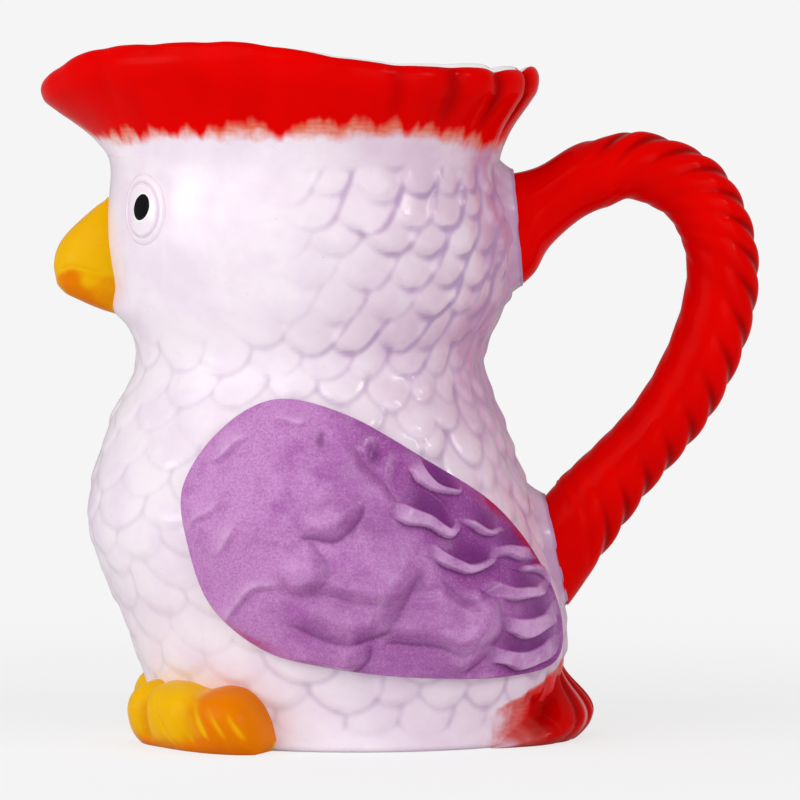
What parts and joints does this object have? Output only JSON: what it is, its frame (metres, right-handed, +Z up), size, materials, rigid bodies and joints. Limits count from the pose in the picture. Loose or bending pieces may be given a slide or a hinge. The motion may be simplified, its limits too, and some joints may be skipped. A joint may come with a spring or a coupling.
{
  "type": "bird jug",
  "caption": "Glazed ceramic pouring jug in the shape of a sitting bird: a fluted red crest is the rim, with a spout over the beak, and a rope-twist handle stands at the back.",
  "frame": {"origin": "middle of the flat foot under the base, on the table", "axes": "+Z up; the bird looks along -X, the handle is at +X, and the bird's left side is -Y"},
  "size_m": [0.2062, 0.1394, 0.2003],
  "materials": {
    "white_glaze": "glossy lilac-white glaze",
    "red_glaze": "glossy hand-painted red glaze",
    "purple_glaze": "glossy hand-painted purple glaze",
    "yellow_glaze": "glossy hand-painted yellow to orange glaze",
    "eye_glaze": "glossy lilac-white glaze with a painted black pupil",
    "bare_clay": "matt unglazed fired clay"
  },
  "bodies": {
    "root": {"body_shell": "white_glaze", "pouring_rim": "red_glaze", "handle": "red_glaze", "handle_upper_seat": "white_glaze", "handle_lower_seat": "white_glaze", "left_wing": "purple_glaze", "right_wing": "purple_glaze", "beak": "yellow_glaze", "left_eye": "eye_glaze", "right_eye": "eye_glaze", "left_foot": "yellow_glaze", "right_foot": "yellow_glaze", "tail_fan": "red_glaze", "base_foot": "bare_clay"}
  },
  "joints": []
}
